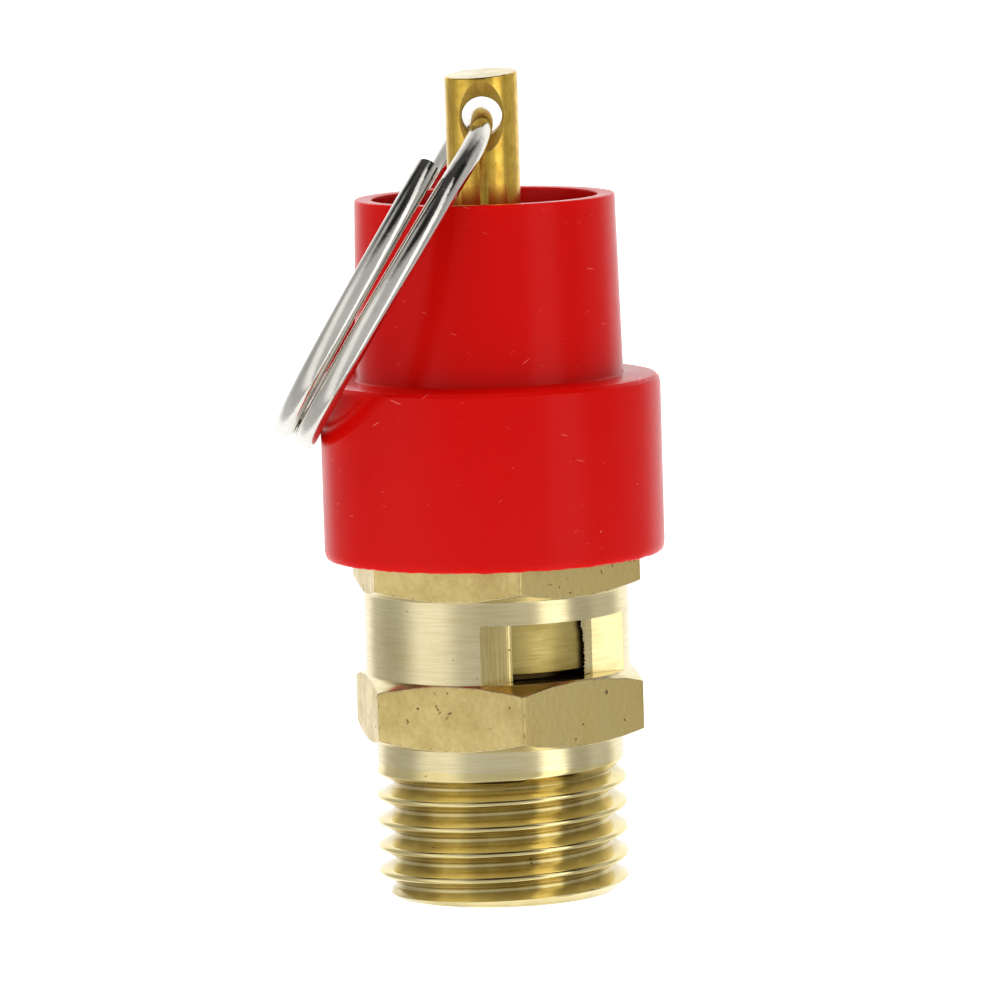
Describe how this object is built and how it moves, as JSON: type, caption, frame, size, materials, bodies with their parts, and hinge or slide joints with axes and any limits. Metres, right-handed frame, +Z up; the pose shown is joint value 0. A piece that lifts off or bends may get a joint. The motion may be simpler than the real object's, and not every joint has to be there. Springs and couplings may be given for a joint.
{
  "type": "pressure relief valve",
  "caption": "Spring-loaded brass pressure relief valve with a threaded inlet, two exhaust windows, a red dust cap and a pull ring through its lift stem.",
  "frame": {"origin": "centre of the inlet port's mouth, on the end face of the inlet thread", "axes": "+Z up the valve's axis from the inlet to the pull stem; -Y is the side with the front exhaust window and the pull ring hangs to -X"},
  "size_m": [0.0202, 0.0204, 0.0432],
  "materials": {
    "turned_brass": "turned and milled from hexagon bar, fine tool marks",
    "piston_brass": "turned smooth",
    "polished_brass": "polished rod",
    "seal_rubber": "moulded, matt black",
    "plated_steel": "zinc plated",
    "spring_steel": "drawn stainless wire",
    "red_plastic": "injection moulded, glossy",
    "nickel_wire": "bright nickel plated"
  },
  "bodies": {
    "root": {"valve_body": "turned_brass", "dust_cap": "red_plastic", "adjusting_screw": "turned_brass", "adjuster_lock_nut": "turned_brass", "spring_cap": "plated_steel", "main_spring": "spring_steel"},
    "spring_carrier": {"spring_seat": "plated_steel"},
    "valve_disc": {"valve_piston": "piston_brass", "seat_seal": "seal_rubber", "seal_washer": "plated_steel", "seal_screw": "piston_brass", "lift_stem": "polished_brass", "stem_lock_nut": "plated_steel"},
    "ring": {"pull_ring": "nickel_wire"}
  },
  "joints": [
    {"name": "valve_lift", "type": "slide", "parent": "root", "child": "spring_carrier", "axis": [0, 0, 1], "range_m": [0, 0.0015], "stiffness_N_per_m": 9200, "springref_m": -0.0036, "deforming": ["main_spring"]},
    {"name": "stem_spin", "type": "hinge", "parent": "spring_carrier", "child": "valve_disc", "pos_m": [0, 0, 0], "axis": [0, 0, 1], "continuous": true},
    {"name": "ring_swing", "type": "hinge", "parent": "valve_disc", "child": "ring", "pos_m": [-0.00006, 0, 0.0407], "axis": [0, 1, 0], "range_deg": [0, 295]}
  ]
}
